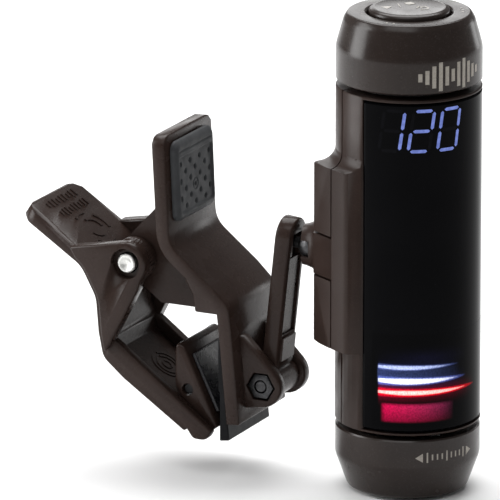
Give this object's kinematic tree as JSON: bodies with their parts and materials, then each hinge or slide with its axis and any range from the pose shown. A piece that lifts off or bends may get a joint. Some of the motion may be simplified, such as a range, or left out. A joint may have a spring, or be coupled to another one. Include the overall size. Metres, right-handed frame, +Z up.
{
  "type": "clip-on tuner",
  "caption": "Clip-on tuner: an upright cylindrical display head with turning ends on a ball joint and arm, held by a sprung two-lever clip.",
  "frame": {"origin": "middle of the flat gripping face of the clip's fixed rubber pad", "axes": "+Z up along the cylindrical head, +X from the clip to the head (out of the back of the fixed jaw), +Y along the clip's pins away from the nut"},
  "size_m": [0.063, 0.0215, 0.0664],
  "materials": {
    "brown_plastic": "dark bronze-brown moulded plastic with fine metallic fleck and a soft sheen",
    "button_plastic": "dark brown moulded button with pale printed marks",
    "thumb_rubber": "matt dark grey rubber with moulded dots",
    "jaw_rubber": "smooth dark grey rubber",
    "bright_steel": "bright turned pin",
    "spring_steel": "drawn spring wire and contact sheet",
    "dark_steel": "blackened steel",
    "window_plastic": "glossy black window with lit numerals and bars",
    "inner_plastic": "black inner moulding",
    "diffuser_plastic": "milky light diffuser",
    "board": "green circuit board",
    "sensor_brass": "thin brass sensor disc",
    "battery_sleeve": "printed sleeve of a cell"
  },
  "bodies": {
    "clip": {"rear_lever": "brown_plastic", "thumb_pad": "thumb_rubber", "fixed_jaw_pad": "jaw_rubber", "pivot_pin": "bright_steel", "torsion_spring": "spring_steel", "arm_bolt": "dark_steel", "hex_nut": "dark_steel"},
    "grip_lever": {"front_lever": "brown_plastic"},
    "shoe": {"jaw_shoe": "brown_plastic", "shoe_pad": "jaw_rubber", "shoe_pin": "dark_steel"},
    "swing_arm": {"arm": "brown_plastic"},
    "stud": {"ball_stud": "dark_steel"},
    "head": {"front_housing": "brown_plastic", "battery_cover": "brown_plastic", "display_window": "window_plastic", "circuit_board": "board", "digit_display": "inner_plastic", "light_guide": "diffuser_plastic", "vibration_sensor": "sensor_brass", "battery": "battery_sleeve", "battery_contact": "spring_steel", "battery_spring": "spring_steel", "top_hub": "inner_plastic", "button_switch": "inner_plastic", "bottom_hub": "inner_plastic", "top_return_spring": "spring_steel", "bottom_return_spring": "spring_steel"},
    "upper_dial": {"top_dial": "brown_plastic"},
    "lower_dial": {"bottom_dial": "brown_plastic"},
    "button": {"power_button": "button_plastic"}
  },
  "joints": [
    {"name": "clip_pivot", "type": "hinge", "parent": "clip", "child": "grip_lever", "pos_m": [-0.0129, 0, 0.01305], "axis": [0, 1, 0], "range_deg": [0, 40], "stiffness_Nm_per_rad": 0.12, "springref_deg": -34.38},
    {"name": "shoe_pivot", "type": "hinge", "parent": "grip_lever", "child": "shoe", "pos_m": [-0.0049, 0, -0.00425], "axis": [0, 1, 0], "range_deg": [0, 5]},
    {"name": "arm_hinge", "type": "hinge", "parent": "clip", "child": "swing_arm", "pos_m": [0.0056, 0, -0.00275], "axis": [0, 1, 0], "range_deg": [-15, 70]},
    {"name": "stud_roll", "type": "hinge", "parent": "swing_arm", "child": "stud", "pos_m": [0.0116, 0, 0.01675], "axis": [1, 0, 0], "continuous": true},
    {"name": "head_swing", "type": "hinge", "parent": "stud", "child": "head", "pos_m": [0.0116, 0, 0.01675], "axis": [0, 0, 1], "range_deg": [-50, 20]},
    {"name": "top_dial_turn", "type": "hinge", "parent": "head", "child": "upper_dial", "pos_m": [0.02377, 0.00326, 0.01675], "axis": [0, 0, 1], "range_deg": [-25, 25], "stiffness_Nm_per_rad": 0.01},
    {"name": "bottom_dial_turn", "type": "hinge", "parent": "head", "child": "lower_dial", "pos_m": [0.02377, 0.00326, 0.01675], "axis": [0, 0, 1], "range_deg": [-25, 25], "stiffness_Nm_per_rad": 0.01},
    {"name": "button_press", "type": "slide", "parent": "head", "child": "button", "axis": [0, 0, -1], "range_m": [0, 0.0006], "stiffness_N_per_m": 800, "springref_m": -0.001}
  ]
}
